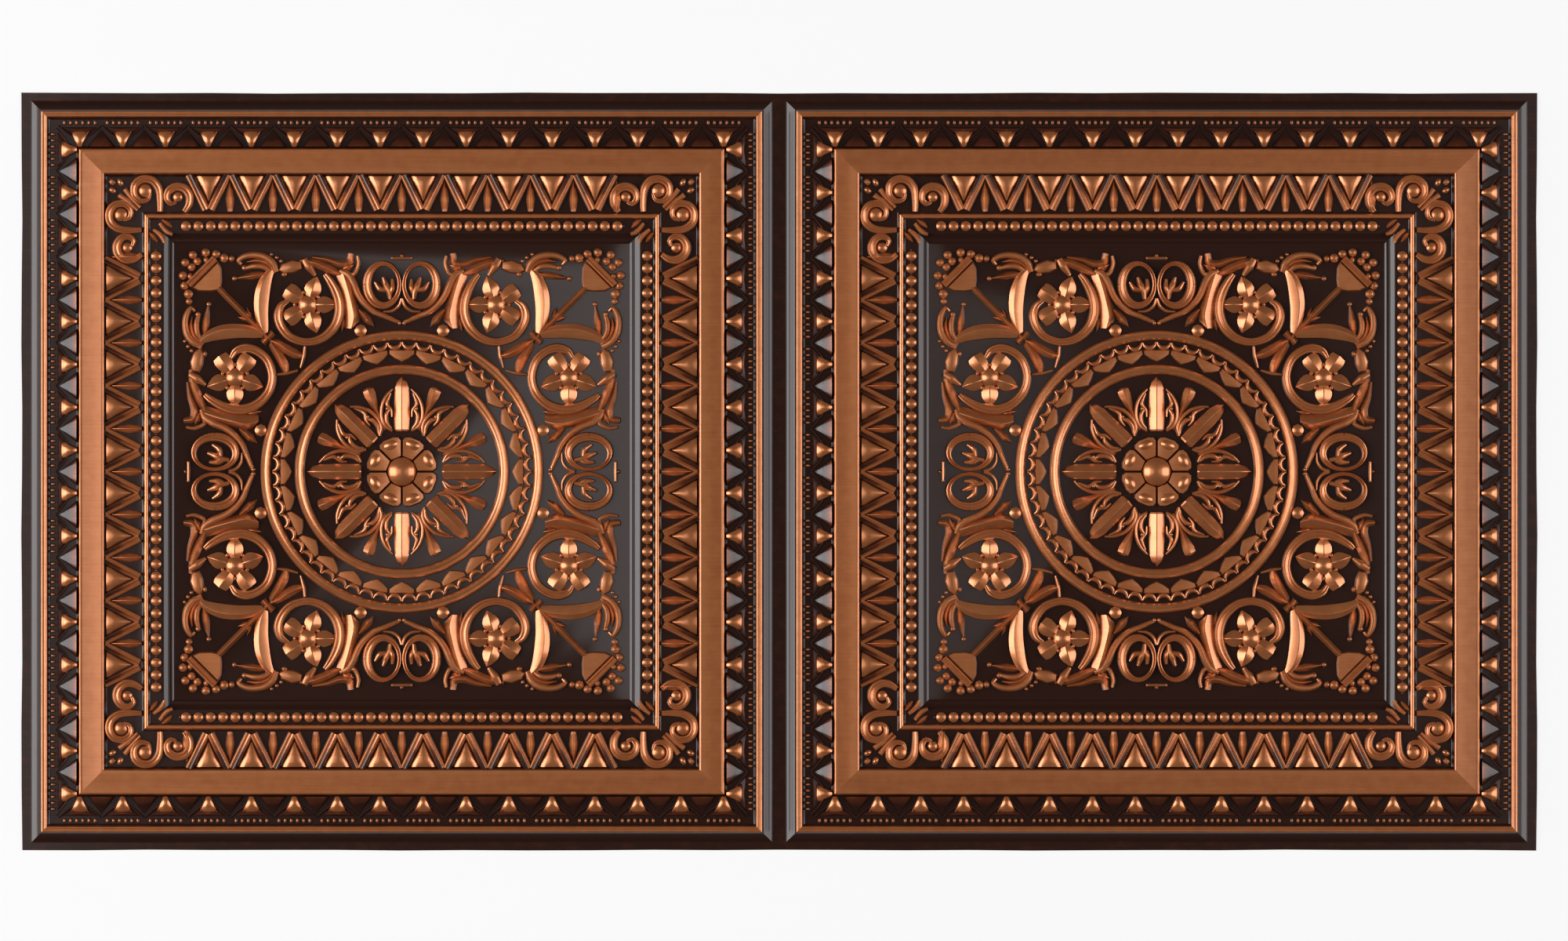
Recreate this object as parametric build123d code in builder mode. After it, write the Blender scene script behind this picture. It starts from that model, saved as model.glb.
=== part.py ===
"""A vacuum-formed vinyl ceiling tile, 4 ft by 2 ft, with two square coffered fields.

One thin sheet is drawn down over a male die, so the relief is worked out here as that
die, and the sheet is what lies between the die's surface and the same surface raised by
one gauge. Each field is a square frame of stepped mouldings (a rounded outer moulding, a
course of teeth, a flat band, a course of leaves, a ridge and a rope moulding) round a
sunk panel that carries a ringed medallion and scrolled vines that mirror each other in
eighths. Where the real rope is cut into beads, its plain envelope is drawn.

Frame: X along the length, Y across the width, Z up out of the decorated face. The origin
is the middle of the underside, and the flat flange lies on Z = 0. Sizes are millimetres.
"""

import os
from math import cos, pi, sin

from build123d import *

# The sheet, and the flats that its fields leave: at the long edges, at the ends and between them
GAUGE = 0.9
DIE_DEPTH = 6.0
FIELD_SIDE = 594.0
SIDE_FLANGE = 7.8
END_FLANGE = 9.2
MIDDLE_FLANGE = 12.8
TILE_WIDTH = FIELD_SIDE + 2 * SIDE_FLANGE
FIELD_PITCH = FIELD_SIDE + MIDDLE_FLANGE
TILE_LENGTH = FIELD_PITCH + FIELD_SIDE + 2 * END_FLANGE

# Widths across one side of a frame, from its foot inwards
MOULDING_RISER = 4.4
MOULDING_CREST = 4.0
QUIRK_SLOPE = 1.3
FILLET_SLOPE = 1.3
FILLET_FALL = 1.4
TOOTH_CHANNEL = 22.4
BAND_RISER = 3.2
BAND = 18.5
BAND_FALL = 2.3
LEAF_CHANNEL = 30.0
RIDGE_OUTER_SLOPE = 3.0
RIDGE_INNER_SLOPE = 2.6
ROPE_CLEARANCE = 1.0
ROPE_SLOPE = 1.9
ROPE_CREST = 5.2
COVE = 4.2
COVE_LIP = 3.2

# Stations of a frame, measured outwards from its field's centre
MOULDING_FOOT = FIELD_SIDE / 2
CREST_OUT = MOULDING_FOOT - MOULDING_RISER
CREST_IN = CREST_OUT - MOULDING_CREST
QUIRK = CREST_IN - QUIRK_SLOPE
FILLET_CREST = QUIRK - FILLET_SLOPE
CHANNEL_OUT = FILLET_CREST - FILLET_FALL
BAND_FOOT = CHANNEL_OUT - TOOTH_CHANNEL
BAND_OUT = BAND_FOOT - BAND_RISER
BAND_IN = BAND_OUT - BAND
LEAF_CHANNEL_OUT = BAND_IN - BAND_FALL
LEAF_CHANNEL_IN = LEAF_CHANNEL_OUT - LEAF_CHANNEL
RIDGE_CREST = LEAF_CHANNEL_IN - RIDGE_OUTER_SLOPE
ROPE_CHANNEL_OUT = RIDGE_CREST - RIDGE_INNER_SLOPE
ROPE_FOOT_OUT = ROPE_CHANNEL_OUT - ROPE_CLEARANCE
ROPE_CREST_OUT = ROPE_FOOT_OUT - ROPE_SLOPE
ROPE_CREST_IN = ROPE_CREST_OUT - ROPE_CREST
ROPE_FOOT_IN = ROPE_CREST_IN - ROPE_SLOPE
ROPE_CHANNEL_IN = ROPE_FOOT_IN - ROPE_CLEARANCE
COVE_FOOT = ROPE_CHANNEL_IN - COVE
PANEL_EDGE = COVE_FOOT - COVE_LIP

# Levels of the frame above the flange
CREST_LEVEL = 7.0
QUIRK_LEVEL = 5.6
FILLET_LEVEL = 6.2
CHANNEL_LEVEL = 3.2
BAND_OUT_LEVEL = 8.6
BAND_IN_LEVEL = 8.0
LEAF_CHANNEL_LEVEL = 4.0
RIDGE_LEVEL = 6.6
ROPE_CHANNEL_LEVEL = 4.0
ROPE_LEVEL = 7.4
COVE_LEVEL = 1.4
PANEL_LEVEL = 0.6

# The repeats of the frame's two courses, which stop short of its corners
COURSE_PITCH = 34.5
TOOTH_CLEARANCE = 1.2
TOOTH_SETBACK = 7.0
TOOTH_PEAK_OFFSET = 5.6
TOOTH_HALF_WIDTH = 9.6
TOOTH_RISE = 4.0
TOOTH_TIP = BAND_FOOT + TOOTH_CLEARANCE
TOOTH_PEAK = TOOTH_TIP + TOOTH_PEAK_OFFSET
TOOTH_BASE = CHANNEL_OUT - TOOTH_SETBACK
TEETH_PER_SIDE = 2 * round((TOOTH_BASE - TOOTH_HALF_WIDTH) / COURSE_PITCH)
LEAF_CLEARANCE = 1.3
LEAF_HALF_WIDTH = 16.2
LEAF_SHOULDER = 2.4
LEAF_RISE = 3.2
LEAF_CORNER = 40.0
LEAF_ROOT = LEAF_CHANNEL_OUT - LEAF_CLEARANCE
LEAF_TIP = LEAF_CHANNEL_IN + LEAF_CLEARANCE
LEAVES_PER_SIDE = 2 * round((LEAF_TIP - LEAF_CORNER) / COURSE_PITCH)

# The panel's ornament is drawn for this half side, and is scaled with the panel
DRAWN_PANEL_EDGE = 184.2
PANEL_SCALE = PANEL_EDGE / DRAWN_PANEL_EDGE

# The medallion: two rings with scallops between them, and a rosette
OUTER_RING_RADIUS = 109.7 * PANEL_SCALE
INNER_RING_RADIUS = 82.2 * PANEL_SCALE
RING_HALF_WIDTH = 4.3
RING_RISE = 4.6
SCALLOPS = 28
SCALLOP_CLEARANCE = 2.0
SCALLOP_DEPTH = 13.5 * PANEL_SCALE
SCALLOP_PEAK_OFFSET = 6.5 * PANEL_SCALE
SCALLOP_HALF_WIDTH = 9.8 * PANEL_SCALE
SCALLOP_RISE = 2.6
SCALLOP_TIP = INNER_RING_RADIUS + RING_HALF_WIDTH + SCALLOP_CLEARANCE
SCALLOP_PEAK = SCALLOP_TIP + SCALLOP_PEAK_OFFSET
SCALLOP_BASE = SCALLOP_TIP + SCALLOP_DEPTH
LEAF_PAIRS = 8
MAIN_LEAF_LENGTH = 44.0 * PANEL_SCALE
MAIN_LEAF_PEAK_OFFSET = 19.0 * PANEL_SCALE
MAIN_LEAF_HALF_WIDTH = 6.8 * PANEL_SCALE
MAIN_LEAF_RISE = 5.0
SMALL_LEAF_LENGTH = 36.0 * PANEL_SCALE
SMALL_LEAF_PEAK_OFFSET = 26.0 * PANEL_SCALE
SMALL_LEAF_HALF_WIDTH = 4.4 * PANEL_SCALE
SMALL_LEAF_RISE = 3.6
BOSS_RADIUS = 12.0 * PANEL_SCALE
BOSS_RISE = 7.0
BOSS_SIDES = 8
PETAL_LENGTH = 15.0 * PANEL_SCALE
PETAL_PEAK_OFFSET = 9.0 * PANEL_SCALE
PETAL_HALF_WIDTH = 7.4 * PANEL_SCALE
PETAL_RISE = 4.6
PETAL_CLEARANCE = 1.0
MAIN_LEAF_CLEARANCE = 3.0
SMALL_LEAF_CLEARANCE = 8.0
PETAL_ROOT = BOSS_RADIUS + PETAL_CLEARANCE
PETAL_END = PETAL_ROOT + PETAL_LENGTH
MAIN_LEAF_ROOT = PETAL_END + MAIN_LEAF_CLEARANCE
SMALL_LEAF_ROOT = PETAL_END + SMALL_LEAF_CLEARANCE

# The flowers in the scrolled corners of the panel, one in each eighth, and the vine round them
FLOWER_NEAR = 75.0 * PANEL_SCALE
FLOWER_FAR = 134.3 * PANEL_SCALE
FLOWER_RADIUS = 19.0 * PANEL_SCALE
FLOWER_RISE = 4.6
FLOWER_SIDES = 5
VINE_RADIUS = 30.0 * PANEL_SCALE
VINE_START = -10
VINE_TURN = -228
VINE_RUNS = 5
VINE_HALF_WIDTH = 2.9
VINE_RISE = 4.0

# The rest of an eighth's scrolls, as points from the field's centre
BRANCH_PATH = [(4.0, 119.4), (28.0, 127.6), (48.0, 158.4)]
BRANCH_HALF_WIDTH = 2.3
STEM_OUTLINE = [(108.0, 113.0), (117.0, 133.0), (105.6, 156.6), (106.6, 133.0)]
STEM_PEAK = (111.8, 133.0)
STALK_PATH = [(104.6, 104.6), (146.0, 146.0)]
STALK_HALF_WIDTH = 2.2
HORN_OUTLINE = [(45.6, 151.0), (35.2, 121.0), (43.2, 115.6)]
HORN_PEAK = (41.0, 123.6)
HORN_RISE = 4.2
FISHTAIL_OUTLINE = [(96.0, 170.6), (41.0, 174.0), (41.0, 163.4), (70.0, 165.0)]
FISHTAIL_PEAK = (55.0, 169.4)
CLAW_OUTLINE = [(101.0, 159.4), (131.0, 154.6), (131.0, 170.6), (108.0, 173.6)]
CLAW_PEAK = (116.0, 163.6)
LOBE_RISE = 3.4
SHIELD_OUTLINE = [(144.6, 144.6), (170.4, 148.9), (148.9, 170.4)]
SHIELD_PEAK = (155.0, 155.0)
SHIELD_RISE = 3.2
HEART_CENTRE = (16.4, 150.0)
HEART_RADII = (13.6, 16.2)
HEART_HALF_WIDTH = 2.5
HEART_SIDES = 6
HEART_RISE = 4.0

FRAME_STATIONS = [
    (MOULDING_FOOT, 0.0),
    (CREST_OUT, CREST_LEVEL),
    (CREST_IN, CREST_LEVEL),
    (QUIRK, QUIRK_LEVEL),
    (FILLET_CREST, FILLET_LEVEL),
    (CHANNEL_OUT, CHANNEL_LEVEL),
    (BAND_FOOT, CHANNEL_LEVEL),
    (BAND_OUT, BAND_OUT_LEVEL),
    (BAND_IN, BAND_IN_LEVEL),
    (LEAF_CHANNEL_OUT, LEAF_CHANNEL_LEVEL),
    (LEAF_CHANNEL_IN, LEAF_CHANNEL_LEVEL),
    (RIDGE_CREST, RIDGE_LEVEL),
    (ROPE_CHANNEL_OUT, ROPE_CHANNEL_LEVEL),
    (ROPE_FOOT_OUT, ROPE_CHANNEL_LEVEL),
    (ROPE_CREST_OUT, ROPE_LEVEL),
    (ROPE_CREST_IN, ROPE_LEVEL),
    (ROPE_FOOT_IN, ROPE_CHANNEL_LEVEL),
    (ROPE_CHANNEL_IN, ROPE_CHANNEL_LEVEL),
    (COVE_FOOT, COVE_LEVEL),
    (PANEL_EDGE, PANEL_LEVEL),
]


def oval(centre, radii, sides):
    """The corners of an oval drawn with a few straight sides."""
    turns = [2 * pi * k / sides for k in range(sides)]
    return [(centre[0] + radii[0] * cos(t), centre[1] + radii[1] * sin(t)) for t in turns]


def faceted(outline, peak, level, rise):
    """A faceted ornament on the die: a flat outline brought up to one peak."""
    sunk = level - DIE_DEPTH / 2
    foot = [(x, y, z) for x, y in outline for z in (sunk, level)]
    return ConvexPolyhedron(foot + [(*peak, level + rise)], mode=Mode.PRIVATE)


def fit(points):
    """Points of the panel's ornament, brought from the drawn panel to the real one."""
    return [(x * PANEL_SCALE, y * PANEL_SCALE) for x, y in points]


def lobe(outline, peak, rise):
    """A faceted leaf, horn or shield of the scrolls, drawn in the drawn panel's points."""
    return faceted(fit(outline), fit([peak])[0], PANEL_LEVEL, rise)


def frame_leaf():
    """A leaf of the frame: a pointed block with sloped shoulders and a flat top."""
    reach = LEAF_ROOT - LEAF_TIP
    lean = (LEAF_HALF_WIDTH**2 + reach**2) ** 0.5
    tip_inset = LEAF_SHOULDER * lean / LEAF_HALF_WIDTH
    side_inset = LEAF_SHOULDER * (lean + LEAF_HALF_WIDTH) / reach
    foot = [(-LEAF_HALF_WIDTH, LEAF_ROOT), (LEAF_HALF_WIDTH, LEAF_ROOT), (0, LEAF_TIP)]
    shoulder = [
        (side_inset - LEAF_HALF_WIDTH, LEAF_ROOT - LEAF_SHOULDER),
        (LEAF_HALF_WIDTH - side_inset, LEAF_ROOT - LEAF_SHOULDER),
        (0, LEAF_TIP + tip_inset),
    ]
    sunk = LEAF_CHANNEL_LEVEL - DIE_DEPTH / 2
    points = [(x, y, z) for x, y in foot for z in (sunk, LEAF_CHANNEL_LEVEL)]
    points += [(x, y, LEAF_CHANNEL_LEVEL + LEAF_RISE) for x, y in shoulder]
    return ConvexPolyhedron(points, mode=Mode.PRIVATE)


def leaf(root, peak_offset, length, half_width, rise):
    """A ridged leaf of the panel, along +Y from its root, widest beside its peak."""
    peak = root + peak_offset
    outline = [(0, root), (half_width, peak), (0, root + length), (-half_width, peak)]
    return faceted(outline, (0, peak), PANEL_LEVEL, rise)


def pyramid(base, peak, tip, half_width, level, rise):
    """A three-sided tooth along Y, with a straight base and a pointed tip."""
    outline = [(-half_width, base), (half_width, base), (0, tip)]
    return faceted(outline, (0, peak), level, rise)


def round_boss(radius, sides, level, rise):
    """A boss that stands on the die, drawn with a few flat sides."""
    return faceted(oval((0, 0), (radius, radius), sides), (0, 0), level, rise)


def wreath(centre, radii, half_width, rise, sides):
    """An oval ridge on the panel, in a few straight runs: a tapered block, less a tapered well."""
    sunk = PANEL_LEVEL - DIE_DEPTH / 2
    crest = [(x, y, PANEL_LEVEL + rise) for x, y in oval(centre, radii, sides)]
    shells = []
    for side in (half_width, -half_width):
        foot = oval(centre, (radii[0] + side, radii[1] + side), sides)
        points = [(x, y, z) for x, y in foot for z in (sunk, PANEL_LEVEL)]
        shells.append(ConvexPolyhedron(points + crest, mode=Mode.PRIVATE))
    return shells[0] - shells[1]


def vine(path, half_width, rise):
    """A ridge of triangular section swept along straight runs on the panel."""
    sunk = PANEL_LEVEL - DIE_DEPTH / 2
    with BuildPart() as swept:
        with BuildLine() as route:
            Polyline(*path)
        with BuildSketch(Plane(origin=route.line @ 0, x_dir=(0, 0, 1), z_dir=route.line % 0)):
            with BuildLine():
                Polyline(
                    (sunk, -half_width),
                    (PANEL_LEVEL, -half_width),
                    (PANEL_LEVEL + rise, 0),
                    (PANEL_LEVEL, half_width),
                    (sunk, half_width),
                    close=True,
                )
            make_face()
        sweep(transition=Transition.RIGHT)
    return swept.part


def ring(radius):
    """One ridged ring of the medallion."""
    with BuildPart() as turned:
        with BuildSketch(Plane.XZ):
            with BuildLine():
                Polyline(
                    (radius - RING_HALF_WIDTH, PANEL_LEVEL - DIE_DEPTH / 2),
                    (radius - RING_HALF_WIDTH, PANEL_LEVEL),
                    (radius, PANEL_LEVEL + RING_RISE),
                    (radius + RING_HALF_WIDTH, PANEL_LEVEL),
                    (radius + RING_HALF_WIDTH, PANEL_LEVEL - DIE_DEPTH / 2),
                    close=True,
                )
            make_face()
        revolve(axis=Axis.Z)
    return turned.part


tooth = pyramid(TOOTH_BASE, TOOTH_PEAK, TOOTH_TIP, TOOTH_HALF_WIDTH, CHANNEL_LEVEL, TOOTH_RISE)
course_leaf = frame_leaf()
scallop = pyramid(
    SCALLOP_BASE, SCALLOP_PEAK, SCALLOP_TIP, SCALLOP_HALF_WIDTH, PANEL_LEVEL, SCALLOP_RISE
)
main_leaf = leaf(
    MAIN_LEAF_ROOT, MAIN_LEAF_PEAK_OFFSET, MAIN_LEAF_LENGTH, MAIN_LEAF_HALF_WIDTH, MAIN_LEAF_RISE
)
small_leaf = leaf(
    SMALL_LEAF_ROOT, SMALL_LEAF_PEAK_OFFSET, SMALL_LEAF_LENGTH, SMALL_LEAF_HALF_WIDTH, SMALL_LEAF_RISE
)
petal = leaf(PETAL_ROOT, PETAL_PEAK_OFFSET, PETAL_LENGTH, PETAL_HALF_WIDTH, PETAL_RISE)
boss = round_boss(BOSS_RADIUS, BOSS_SIDES, PANEL_LEVEL, BOSS_RISE)
flower = round_boss(FLOWER_RADIUS, FLOWER_SIDES, PANEL_LEVEL, FLOWER_RISE)
outer_ring = ring(OUTER_RING_RADIUS)
inner_ring = ring(INNER_RING_RADIUS)
vine_turns = [(VINE_START + VINE_TURN * k / VINE_RUNS) * pi / 180 for k in range(VINE_RUNS + 1)]
vine_path = [(FLOWER_NEAR + VINE_RADIUS * cos(t), FLOWER_FAR + VINE_RADIUS * sin(t)) for t in vine_turns]
scrolls = [
    vine(vine_path, VINE_HALF_WIDTH, VINE_RISE),
    vine(fit(BRANCH_PATH), BRANCH_HALF_WIDTH, VINE_RISE),
    lobe(STEM_OUTLINE, STEM_PEAK, VINE_RISE),
    lobe(HORN_OUTLINE, HORN_PEAK, HORN_RISE),
    lobe(FISHTAIL_OUTLINE, FISHTAIL_PEAK, LOBE_RISE),
    lobe(CLAW_OUTLINE, CLAW_PEAK, LOBE_RISE),
    wreath(*fit([HEART_CENTRE, HEART_RADII]), HEART_HALF_WIDTH, HEART_RISE, HEART_SIDES),
]
stalk = vine(fit(STALK_PATH), STALK_HALF_WIDTH, VINE_RISE)
shield = lobe(SHIELD_OUTLINE, SHIELD_PEAK, SHIELD_RISE)

# The die under one side of a frame: its section drawn along the side, mitred at 45 degrees
with BuildPart() as side_die:
    with BuildSketch(Plane.YZ):
        with BuildLine():
            Polyline(
                (MOULDING_FOOT, -DIE_DEPTH),
                *FRAME_STATIONS,
                (PANEL_EDGE, -DIE_DEPTH),
                close=True,
            )
        make_face()
    extrude(amount=MOULDING_FOOT, both=True)
    split(bisect_by=Plane(origin=(0, 0, 0), z_dir=(1, 1, 0)), keep=Keep.TOP)
    split(bisect_by=Plane(origin=(0, 0, 0), z_dir=(-1, 1, 0)), keep=Keep.TOP)
    with GridLocations(COURSE_PITCH, 0, TEETH_PER_SIDE, 1):
        add(tooth)
    with GridLocations(COURSE_PITCH, 0, LEAVES_PER_SIDE, 1):
        add(course_leaf)

# One quarter of the scrollwork: an eighth, and the same mirrored about the field's diagonal
with BuildPart() as quarter_scrolls:
    add(scrolls)
    with Locations((FLOWER_NEAR, FLOWER_FAR)):
        add(flower)
    mirror(about=Plane(origin=(0, 0, 0), z_dir=(1, -1, 0)))
    add(stalk)
    add(shield)

# The die under the sunk panel, with its medallion and scrolls
with BuildPart() as panel_die:
    with BuildSketch(Plane.XY.offset(-DIE_DEPTH)):
        Rectangle(2 * PANEL_EDGE, 2 * PANEL_EDGE)
    extrude(amount=DIE_DEPTH + PANEL_LEVEL)
    add(outer_ring)
    add(inner_ring)
    with PolarLocations(0, SCALLOPS):
        add(scallop)
    with PolarLocations(0, LEAF_PAIRS):
        add(main_leaf)
    with PolarLocations(0, LEAF_PAIRS, start_angle=180 / LEAF_PAIRS):
        add(small_leaf)
        add(petal)
    add(boss)
    with PolarLocations(0, 4):
        add(quarter_scrolls.part)

# The sheet over each die is the same surface raised by one gauge, less the die
with BuildPart() as side_sheet:
    with Locations((0, 0, GAUGE)):
        add(side_die.part)
    add(side_die.part, mode=Mode.SUBTRACT)

with BuildPart() as panel_sheet:
    with Locations((0, 0, GAUGE)):
        add(panel_die.part)
    add(panel_die.part, mode=Mode.SUBTRACT)

# The whole tile: its flat flange, and in each field four mitred sides and the panel
with BuildPart() as ceiling_tile:
    with BuildSketch():
        Rectangle(TILE_LENGTH, TILE_WIDTH)
        with GridLocations(FIELD_PITCH, 0, 2, 1):
            Rectangle(2 * MOULDING_FOOT, 2 * MOULDING_FOOT, mode=Mode.SUBTRACT)
    extrude(amount=GAUGE)
    with GridLocations(FIELD_PITCH, 0, 2, 1):
        add(panel_sheet.part)
        with PolarLocations(0, 4):
            add(side_sheet.part)

ceiling_tile.part.label = "ceiling_tile"
os.makedirs("parts", exist_ok=True)
export_step(ceiling_tile.part, "parts/ceiling_tile.step")
print("solids", len(ceiling_tile.solids()), "faces", len(ceiling_tile.faces()))
print("volume cm3", round(ceiling_tile.part.volume / 1000, 1))
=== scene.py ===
"""The looks of a vacuum-formed vinyl ceiling tile in rubbed antique copper.

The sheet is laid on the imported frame: its flange, stepped mouldings and sunk panels are
one closed shell, and the pressed ornament stands on it as closed meshes that sink a
little into it. Sizes are real millimetres in the tile's own frame, and each mesh is
turned to metres as it is made. Both fields, and the eight parts of a field that repeat
or mirror each other, come from one repeating tree of Geometry Nodes.
"""

import logging
from collections.abc import Callable, Sequence
from dataclasses import dataclass, field
from enum import Enum
from math import cos, hypot, pi, radians, sin, tau

import bpy
import numpy as np
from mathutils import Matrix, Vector


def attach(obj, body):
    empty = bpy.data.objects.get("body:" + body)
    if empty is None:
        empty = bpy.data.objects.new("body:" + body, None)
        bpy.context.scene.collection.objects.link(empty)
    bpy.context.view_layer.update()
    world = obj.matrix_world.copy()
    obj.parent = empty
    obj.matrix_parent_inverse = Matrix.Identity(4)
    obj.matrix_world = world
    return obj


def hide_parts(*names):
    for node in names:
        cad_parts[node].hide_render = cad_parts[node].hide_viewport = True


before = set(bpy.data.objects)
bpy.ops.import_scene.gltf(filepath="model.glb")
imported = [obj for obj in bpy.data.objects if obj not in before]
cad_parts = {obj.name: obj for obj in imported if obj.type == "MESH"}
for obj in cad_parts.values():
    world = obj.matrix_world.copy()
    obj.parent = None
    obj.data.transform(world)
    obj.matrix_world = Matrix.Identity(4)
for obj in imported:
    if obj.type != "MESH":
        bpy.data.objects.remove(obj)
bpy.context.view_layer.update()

log = logging.getLogger("ceiling_tile")

MM = 0.001
BODY = "root"
NODE = "ceiling_tile"

# How deep an ornament's closed bottom lies under the face that it stands on, in mm
SINK = 0.35
GAUGE = 0.9

# Sides of a field, each with the same ornament
SIDES = 4
# Faces of an ornament that meet at more than this angle, in degrees, show an edge
CREASE = 27.0

Point = tuple[float, float]
Place = tuple[float, float, float]


# Colour and shader helpers

def srgb(text: str) -> tuple[float, float, float, float]:
    """Turn an sRGB hex value into linear colour.

    Args:
        text: six hex digits after a hash sign.

    Returns:
        Linear red, green, blue and an alpha of one.
    """
    parts = [int(text[i : i + 2], 16) / 255 for i in (1, 3, 5)]
    linear = [p / 12.92 if p <= 0.04045 else ((p + 0.055) / 1.055) ** 2.4 for p in parts]
    return (*linear, 1.0)


def add_node(
    tree: bpy.types.NodeTree,
    kind: str,
    settings: dict[str, object] | None = None,
    inputs: dict[str | int, object] | None = None,
) -> bpy.types.Node:
    """Add one node, set its properties, and set or link its inputs.

    Args:
        tree: the node tree that gets the node.
        kind: the node's Blender type name.
        settings: property names and values.
        inputs: socket names or indices, with plain values or output sockets to link.

    Returns:
        The new node.
    """
    node = tree.nodes.new(kind)
    for name, value in (settings or {}).items():
        setattr(node, name, value)
    for key, value in (inputs or {}).items():
        if isinstance(value, bpy.types.NodeSocket):
            tree.links.new(value, node.inputs[key])
        else:
            node.inputs[key].default_value = value
    return node


def maths(
    tree: bpy.types.NodeTree, operation: str, *values: object, clamp: bool = False
) -> bpy.types.NodeSocket:
    """Add one math node and give its output."""
    settings = {"operation": operation, "use_clamp": clamp}
    return add_node(tree, "ShaderNodeMath", settings, dict(enumerate(values))).outputs[0]


def set_ramp(node: bpy.types.Node, stops: Sequence[tuple[float, tuple]]) -> None:
    """Give a colour ramp its stops, from low to high."""
    ramp = node.color_ramp
    while len(ramp.elements) < len(stops):
        ramp.elements.new(1.0)
    for element, (place, colour) in zip(ramp.elements, stops):
        element.position = place
        element.color = colour


def put(name: str, data: bpy.types.ID) -> bpy.types.Object:
    """Make an object at the origin and link it to the scene."""
    made = bpy.data.objects.new(name, data)
    bpy.context.scene.collection.objects.link(made)
    return made


def mark_rub(mesh: bpy.types.Mesh, values: np.ndarray) -> None:
    """Store how far the dark is rubbed off at each vertex, for the finish to read."""
    mesh.attributes.new("rub", "FLOAT", "POINT").data.foreach_set("value", values)


# The finishes

@dataclass(frozen=True)
class RubbedCopper:
    """Copper lacquer over dark brown on formed vinyl, rubbed back on the high relief.

    The low ground keeps its near-black brown, the flanks turn to red-brown, and the tops
    show soft orange copper with a little metal in it. A clear satin coat gives the whole
    sheet its crisp pale reflections.
    """

    shadow: str = "#28120A"
    flank: str = "#582A18"
    copper: str = "#B0663A"
    rubbed: str = "#C67B4C"
    stops: tuple[float, ...] = (0.08, 0.42, 0.74, 1.0)
    metallic: float = 0.68
    metal_from: float = 0.1
    metal_full: float = 0.7
    roughness: float = 0.3
    specular: float = 0.15
    coat: float = 0.65
    coat_roughness: float = 0.12
    streak_width: float = 1.6
    streak_length: float = 60.0
    streak_share: float = 0.24
    mottle_size: float = 9.0
    mottle_share: float = 0.34
    grain_size: float = 0.9
    grain_strength: float = 0.12
    grain_depth: float = 0.0002

    def build(self) -> bpy.types.Material:
        """Make the material.

        Returns:
            The finished material, which reads the mesh attribute "rub".
        """
        material = bpy.data.materials.new("rubbed_copper_lacquer_on_vinyl")
        material.use_nodes = True
        tree = material.node_tree
        rub = add_node(tree, "ShaderNodeAttribute", {"attribute_name": "rub"}).outputs["Fac"]
        place = add_node(tree, "ShaderNodeTexCoord").outputs["Object"]
        # Soft cloudy wear and long brush strokes along the tile, both uneven round the mean
        mottle = self.noise(tree, place, 1 / (self.mottle_size * MM), 4.0)
        stretch = (1 / (self.streak_length * MM), 1 / (self.streak_width * MM), 1.0)
        along_x = add_node(tree, "ShaderNodeMapping", inputs={"Vector": place, "Scale": stretch})
        streak = self.noise(tree, along_x.outputs[0], 1.0, 3.0)
        uneven = maths(tree, "MULTIPLY_ADD", mottle, self.mottle_share, -self.mottle_share / 2)
        worn = maths(tree, "ADD", rub, uneven)
        brushed = maths(tree, "MULTIPLY_ADD", streak, self.streak_share, -self.streak_share / 2)
        amount = maths(tree, "ADD", worn, brushed, clamp=True)
        colour = add_node(tree, "ShaderNodeValToRGB", inputs={"Fac": amount})
        tones = [srgb(tone) for tone in (self.shadow, self.flank, self.copper, self.rubbed)]
        set_ramp(colour, list(zip(self.stops, tones)))
        # Only what is rubbed shows metal, and a fine grain keeps highlights from looking cast
        span = {"From Min": self.metal_from, "From Max": self.metal_full, "To Max": self.metallic}
        metal = add_node(tree, "ShaderNodeMapRange", inputs={"Value": amount, **span})
        grain = self.noise(tree, place, 1 / (self.grain_size * MM), 2.0)
        relief = {"Height": grain, "Strength": self.grain_strength, "Distance": self.grain_depth}
        bump = add_node(tree, "ShaderNodeBump", inputs=relief)
        shader = tree.nodes["Principled BSDF"].inputs
        tree.links.new(colour.outputs["Color"], shader["Base Color"])
        tree.links.new(metal.outputs["Result"], shader["Metallic"])
        tree.links.new(bump.outputs["Normal"], shader["Normal"])
        shader["Roughness"].default_value = self.roughness
        shader["Specular IOR Level"].default_value = self.specular
        shader["Coat Weight"].default_value = self.coat
        shader["Coat Roughness"].default_value = self.coat_roughness
        return material

    def noise(
        self, tree: bpy.types.NodeTree, vector: bpy.types.NodeSocket, scale: float, detail: float
    ) -> bpy.types.NodeSocket:
        """Add one noise texture and give its value."""
        inputs = {"Vector": vector, "Scale": scale, "Detail": detail}
        return add_node(tree, "ShaderNodeTexNoise", inputs=inputs).outputs["Fac"]


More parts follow.
